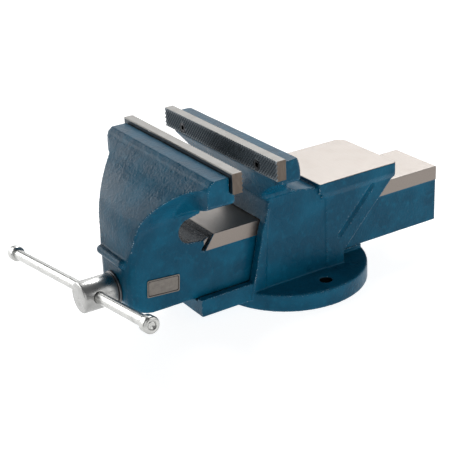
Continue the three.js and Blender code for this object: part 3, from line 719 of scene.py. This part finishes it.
def jaw_plate(node, towards, steel, dark):
    """Knurled plate with a counterbored hole at each end."""
    face_y, back_y = front_and_back(node, towards)
    inward = Vector((0, -towards, 0))
    cutters = []
    for side in (-1, 1):
        mouth = Vector((side * PLATE_SCREW_X * MM, face_y + towards * MM, PLATE_SCREW_Z * MM))
        cutters.append(prism(48, COUNTERBORE_R, 1 + COUNTERBORE_DEPTH, mouth, inward))
        cutters.append(prism(32, SHANK_HOLE_R, 20, mouth, inward))
    blank = knurled_blank(node, towards)
    blank.materials.append(steel)
    blank.materials.append(dark)
    mesh = cut(blank, *cutters)
    darken_holes(mesh, back_y)
    mesh.shade_flat()
    piece(node, mesh)


def plate_screw(node, towards, material):
    """Socket head screw, with its head towards the clamping face."""
    low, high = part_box(node)
    centre = (low + high) / 2
    top = Vector((centre.x, front_and_back(node, towards)[0], centre.z))
    inward = Vector((0, -towards, 0))
    length = (high.y - low.y) / MM
    profile = [
        (0, 0), (4.6, 0), (5.05, 0.2), (5.2, 0.6), (5.2, 5.1), (5.1, 5.2), (2.8, 5.2),
        (2.8, length - 0.6), (2.3, length), (0, length)]
    socket = prism(6, 2.7, 4.2, top - inward * MM, inward, math.pi / 6)
    piece(node, shaded(cut(lathe(profile, top, inward, 64), socket)), material)


def make_plates(black):
    steel, dark = ground_steel(), knurled_steel()
    jaw_plate("fixed_jaw_plate", -1, steel, dark)
    jaw_plate("moving_jaw_plate", 1, steel, dark)
    for word in ("left", "right"):
        plate_screw("fixed_plate_screw_" + word, -1, black)
        plate_screw("moving_plate_screw_" + word, 1, black)


# ---------------------------------------------------------------- screw, nut and retainer


PITCH, THREAD_R, THREAD_ROOT_R, THREAD_FLANK, THREAD_STEPS = 6.0, 11.0, 7.9, 0.9, 48
HEAD_LENGTH, PLAIN_LENGTH = 34.9, 72.0
HANDLE_HOLE_R, PIN_HOLE_R = 5.9, 2.3
BAR_R, NECK_R, CAP_R, CAP_LENGTH = 5.5, 3.6, 8.2, 11.0


def threaded_rod(start, end):
    """Right-hand trapezoidal thread along +Z from start to end, in millimetres."""
    crest = PITCH / 2 - THREAD_FLANK
    offsets = [
        (0, THREAD_ROOT_R), (crest, THREAD_ROOT_R), (crest + THREAD_FLANK, THREAD_R),
        (2 * crest + THREAD_FLANK, THREAD_R)]
    turns = int((end - start) / PITCH) + 3
    rows = [
        (start + PITCH * (turn - 1) + offset, radius)
        for turn in range(turns) for offset, radius in offsets]
    bm = bmesh.new()

    def vertex(column, place, radius):
        along = min(max(place + PITCH * column / THREAD_STEPS, start), end)
        reach = THREAD_ROOT_R + max(0.0, min(along - start, end - along))
        r = min(radius, reach) * MM
        angle = 2 * math.pi * column / THREAD_STEPS
        return bm.verts.new((r * math.cos(angle), r * math.sin(angle), along * MM))

    columns = [[vertex(c, y, r) for y, r in rows] for c in range(THREAD_STEPS)]
    one_turn_on = columns[0][len(offsets):]
    for here, there in zip(columns, columns[1:] + [one_turn_on]):
        for j in range(len(there) - 1):
            bm.faces.new([here[j], here[j + 1], there[j + 1], there[j]])
    bmesh.ops.remove_doubles(bm, verts=bm.verts, dist=1e-6)
    bmesh.ops.dissolve_degenerate(bm, edges=bm.edges, dist=1e-6)
    bmesh.ops.holes_fill(bm, edges=[e for e in bm.edges if e.is_boundary])
    return bm


def screw_head(front):
    """Round head and plain shank, with the hole that the handle bar runs in."""
    profile = [
        (0, 0.15), (0.9, 0.15), (1.1, 0), (13.2, 0), (14.4, 0.35), (15.15, 1.0), (15.5, 1.9),
        (15.5, HEAD_LENGTH - 1.2), (15.2, HEAD_LENGTH - 0.5), (14.6, HEAD_LENGTH),
        (THREAD_R, HEAD_LENGTH), (THREAD_R, PLAIN_LENGTH - 0.5), (10.2, PLAIN_LENGTH + 0.1),
        (0, PLAIN_LENGTH + 0.1)]
    bar_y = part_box("handle_bar")[0].y + BAR_R * MM
    start = Vector((0, bar_y, AXIS_Z)) - BAR_AXIS * 30 * MM
    return cut(lathe(profile, front, ALONG_Y, 128), prism(64, HANDLE_HOLE_R, 60, start, BAR_AXIS))


def screw_thread(front, length):
    """Threaded shank behind the collar, with the retaining pin's hole."""
    bm = threaded_rod(PLAIN_LENGTH, length)
    bm.transform(on_axis(front, ALONG_Y))
    low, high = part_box("retaining_pin")
    start = Vector(((low.x + high.x) / 2, (low.y + high.y) / 2, AXIS_Z)) - ALONG_Z * 30 * MM
    return cut(from_bmesh(bm), prism(32, PIN_HOLE_R, 60, start, ALONG_Z))


def lead_screw(material):
    """Head and threaded shank, as one mesh."""
    low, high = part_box("lead_screw")
    front = Vector((0, low.y, AXIS_Z))
    bm = bmesh.new()
    bm.from_mesh(screw_head(front))
    bm.from_mesh(screw_thread(front, (high.y - low.y) / MM))
    mesh = bpy.data.meshes.new("screw")
    bm.to_mesh(mesh)
    bm.free()
    piece("lead_screw", shaded(mesh, 30), material)


def ring(node, inner, outer, material, edge=0.35, axis=ALONG_Y):
    """Flat ring with softened edges that fills the CAD ring's place."""
    low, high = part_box(node)
    centre = (low + high) / 2
    length = (high - low).dot(axis) / MM
    start = centre - axis * length / 2 * MM
    profile = [
        (inner, 0), (outer - edge, 0), (outer - 0.3 * edge, 0.3 * edge), (outer, edge),
        (outer, length - edge), (outer - 0.3 * edge, length - 0.3 * edge), (outer - edge, length),
        (inner, length)]
    piece(node, shaded(lathe(profile, start, axis, 96)), material)


def spring(material):
    """Coil spring behind the boss, at an even pitch, with the ends of its wire capped."""
    low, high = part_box("screw_spring")
    wire = 1.3 * MM
    radius = (high.x - low.x) / 2 - wire
    start, end = low.y + wire, high.y - wire
    turns, steps, sides = 5, 36, 12
    bm = bmesh.new()
    rings = []
    for i in range(turns * steps + 1):
        t = i / (turns * steps)
        angle = 2 * math.pi * turns * t
        out = Vector((math.cos(angle), 0, math.sin(angle)))
        centre = Vector((0, start + (end - start) * t, AXIS_Z)) + out * radius
        rings.append([
            bm.verts.new(centre + wire * (
                out * math.cos(a) + ALONG_Y * math.sin(a)))
            for a in (2 * math.pi * k / sides for k in range(sides))])
    for a, b in zip(rings, rings[1:]):
        for k in range(sides):
            m = (k + 1) % sides
            bm.faces.new([a[k], a[m], b[m], b[k]])
    bm.faces.new(rings[0])
    bm.faces.new(rings[-1])
    piece("screw_spring", shaded(from_bmesh(bm)), material)


def softened(node, width, material):
    """The CAD node's own shape with its edges rounded by width millimetres."""
    piece(node, bevelled(frame["nodes"][node].data.copy(), width), material)


def make_nut_fixings(black):
    for word in ("front", "rear"):
        softened("nut_bolt_" + word, 0.5, black)
        ring("nut_washer_" + word, 5.4, 10.2, black, 0.3, ALONG_Z)


def retaining_pin(material):
    """Straight pin through the shank, with chamfered ends."""
    low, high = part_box("retaining_pin")
    start = Vector(((low.x + high.x) / 2, (low.y + high.y) / 2, low.z))
    length = (high.z - low.z) / MM
    profile = [(0, 0), (1.6, 0), (2, 0.5), (2, length - 0.5), (1.6, length), (0, length)]
    piece("retaining_pin", shaded(lathe(profile, start, ALONG_Z, 32)), material)


def make_screw():
    bright = turned_steel("bright_steel_y", 1)
    lead_screw(bright)
    ring("thrust_collar", 11.3, 16.8, turned_steel("collar_steel", 1, (0.16, 0.16, 0.165), 0.3))
    ring("thrust_washer", 11.3, 17, bright)
    ring("spring_washer", 11.3, 17, bright)
    spring(bright)
    softened("screw_nut", 0.8, nut_iron())
    retaining_pin(bright)


# ---------------------------------------------------------------- handle


def handle_bar(start, length, material):
    """Bar with a thinner neck at each end, which shows as a rivet in its cap."""
    profile = [
        (0, 0.4), (1.2, 0.3), (3.0, 0.0), (NECK_R, 0.3), (NECK_R, CAP_LENGTH),
        (BAR_R, CAP_LENGTH), (BAR_R, length - CAP_LENGTH), (NECK_R, length - CAP_LENGTH),
        (NECK_R, length - 0.3), (3.0, length), (1.2, length - 0.6), (0, length - 0.9)]
    piece("handle_bar", shaded(lathe(profile, start, BAR_AXIS, 64)), material)


def handle_cap(node, inner, outward, material):
    """Round cap with a softened outer face, pressed on the bar's neck."""
    profile = [
        (3.9, 0), (CAP_R - 1.3, 0), (CAP_R - 0.4, 0.4), (CAP_R, 1.3),
        (CAP_R, CAP_LENGTH - 2.2), (CAP_R - 0.35, CAP_LENGTH - 1.1),
        (CAP_R - 1.2, CAP_LENGTH - 0.3), (CAP_R - 2.3, CAP_LENGTH),
        (4.6, CAP_LENGTH), (4.25, CAP_LENGTH - 0.5), (3.9, CAP_LENGTH - 0.6)]
    piece(node, shaded(lathe(profile, inner, outward, 96)), material)


def make_handle():
    """Bar with a pressed-on cap at each end."""
    low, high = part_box("handle_bar")
    centre = (low + high) / 2
    width = (high.x - low.x) / MM
    half = (width - 2 * NECK_R * math.sin(BAR_TILT)) / 2 / math.cos(BAR_TILT)
    steel = turned_steel("bright_steel_x", 0, (0.50, 0.50, 0.485), 0.2)
    handle_bar(centre - BAR_AXIS * half * MM, 2 * half, steel)
    for word, way in (("left", -1), ("right", 1)):
        outward = BAR_AXIS * way
        inner = centre + outward * (half - CAP_LENGTH + 0.3) * MM
        handle_cap("handle_cap_" + word, inner, outward, steel)


# ---------------------------------------------------------------- badge


BADGE_LENGTH, BADGE_HEIGHT, BADGE_THICK = 35.0, 17.5, 0.8
BADGE_TILT = math.radians(-4.5)
BADGE_RIM, BADGE_SUNK, BADGE_CORNER, BADGE_CORNER_STEPS = 1.1, 0.3, 1.6, 6


def badge_outline():
    """Rectangle with round corners."""
    outline = []
    for sx, sy, start in ((1, 1, 0), (-1, 1, 90), (-1, -1, 180), (1, -1, 270)):
        for k in range(BADGE_CORNER_STEPS + 1):
            a = math.radians(start + 90 * k / BADGE_CORNER_STEPS)
            outline.append((
                sx * (BADGE_LENGTH / 2 - BADGE_CORNER) + BADGE_CORNER * math.cos(a),
                sy * (BADGE_HEIGHT / 2 - BADGE_CORNER) + BADGE_CORNER * math.sin(a)))
    return outline


def make_badge():
    """Plain badge plate with a raised rim and a dark line inside it."""
    low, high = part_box("badge_plate")
    outline = badge_outline()
    face = BADGE_THICK / 2
    bm = bmesh.new()

    def loop(inset, out):
        scale_u = 1 - 2 * inset / BADGE_LENGTH
        scale_v = 1 - 2 * inset / BADGE_HEIGHT
        return [bm.verts.new((out * MM, u * scale_u * MM, v * scale_v * MM)) for u, v in outline]

    loops = [
        loop(0, -face), loop(0, face - 0.15), loop(0.15, face), loop(BADGE_RIM, face),
        loop(BADGE_RIM + 0.1, face - BADGE_SUNK), loop(BADGE_RIM + 0.7, face - BADGE_SUNK)]
    dark_line = len(loops) - 2
    for i, (a, b) in enumerate(zip(loops, loops[1:])):
        for k in range(len(outline)):
            m = (k + 1) % len(outline)
            bm.faces.new([a[k], a[m], b[m], b[k]]).material_index = int(i == dark_line)
    bm.faces.new(loops[0])
    bm.faces.new(loops[-1])
    bm.transform(Matrix.Translation((low + high) / 2) @ Matrix.Rotation(BADGE_TILT, 4, "X"))
    mesh = shaded(from_bmesh(bm))
    mesh.materials.append(badge_metal())
    mesh.materials.append(black_steel())
    piece("badge_plate", mesh)


# ---------------------------------------------------------------- stage, lights, camera


def floor():
    """Pale floor that glows by itself, so that it reads as white."""
    finish = Finish("floor")
    finish.set(
        Base_Color=finish.mix(finish.noise(400, detail=2), (0.43, 0.43, 0.43), (0.46, 0.46, 0.46)),
        Roughness=0.6, Emission_Color=(1, 1, 1), Emission_Strength=0.88)
    bpy.ops.mesh.primitive_plane_add(size=12, location=(0, 0, -0.0005))
    plane = bpy.context.object
    plane.name = "floor"
    plane.data.materials.append(finish.material)


def area_light(name, place, target, size, power):
    """Rectangular light at place, turned towards target."""
    data = bpy.data.lights.new(name, "AREA")
    data.shape = "RECTANGLE"
    data.size, data.size_y = size
    data.energy = power
    light = bpy.data.objects.new(name, data)
    bpy.context.scene.collection.objects.link(light)
    light.location = place
    light.rotation_mode = "QUATERNION"
    light.rotation_quaternion = (Vector(target) - Vector(place)).to_track_quat("-Z", "Y")
    return light


def lights():
    """Soft overhead sun, panels seen only in reflections, and a fill that reflections leave out."""
    world = bpy.data.worlds.new("studio")
    bpy.context.scene.world = world
    world.use_nodes = True
    background = world.node_tree.nodes["Background"]
    background.inputs["Color"].default_value = (0.93, 0.96, 1.0, 1)
    background.inputs["Strength"].default_value = 0.16
    sun = bpy.data.lights.new("overhead", "SUN")
    sun.energy = 2.0
    sun.angle = math.radians(28)
    overhead = bpy.data.objects.new("overhead", sun)
    bpy.context.scene.collection.objects.link(overhead)
    overhead.rotation_mode = "QUATERNION"
    overhead.rotation_quaternion = Vector((0.62, -0.55, -1)).to_track_quat("-Z", "Y")
    target = (0, 0, 0.08)
    panels = (
        ("panel_behind", (-1.25, 0.80, 0.80), (1.7, 1.2), 9),
        ("panel_left", (-1.25, -0.95, 0.56), (1.7, 0.95), 18),
        ("panel_right", (1.25, 1.00, 0.75), (1.7, 1.0), 8),
        ("panel_front", (1.30, -1.20, 0.75), (1.7, 1.0), 8),
    )
    for name, place, size, power in panels:
        area_light(name, place, target, size, power).visible_diffuse = False
    fill = area_light("fill_right", (1.60, 0.10, 0.75), target, (1.2, 1.0), 6)
    fill.visible_glossy = False


def camera():
    """Long lens, to the operator's right and in front, looking down."""
    azimuth, elevation, roll = (math.radians(v) for v in (58.6, 24.04, -2.9))
    back = Vector((
        math.sin(azimuth) * math.cos(elevation), -math.cos(azimuth) * math.cos(elevation),
        math.sin(elevation)))
    right = (-back).cross(ALONG_Z).normalized()
    up = right.cross(-back)
    across = right * math.cos(roll) + up * math.sin(roll)
    upward = up * math.cos(roll) - right * math.sin(roll)
    data = bpy.data.cameras.new("camera")
    data.sensor_width = 36
    data.lens = 93.75
    data.clip_start, data.clip_end = 0.05, 30
    cam = bpy.data.objects.new("camera", data)
    bpy.context.scene.collection.objects.link(cam)
    turn = Matrix((across, upward, back)).transposed().to_4x4()
    cam.matrix_world = Matrix.Translation((0.90471, -0.62609, 0.5505)) @ turn
    bpy.context.scene.camera = cam


make_castings()
black_screws = black_steel()
make_plates(black_screws)
make_nut_fixings(black_screws)
make_screw()
make_handle()
make_badge()
floor()
lights()
camera()
bpy.context.scene.view_settings.view_transform = "Standard"
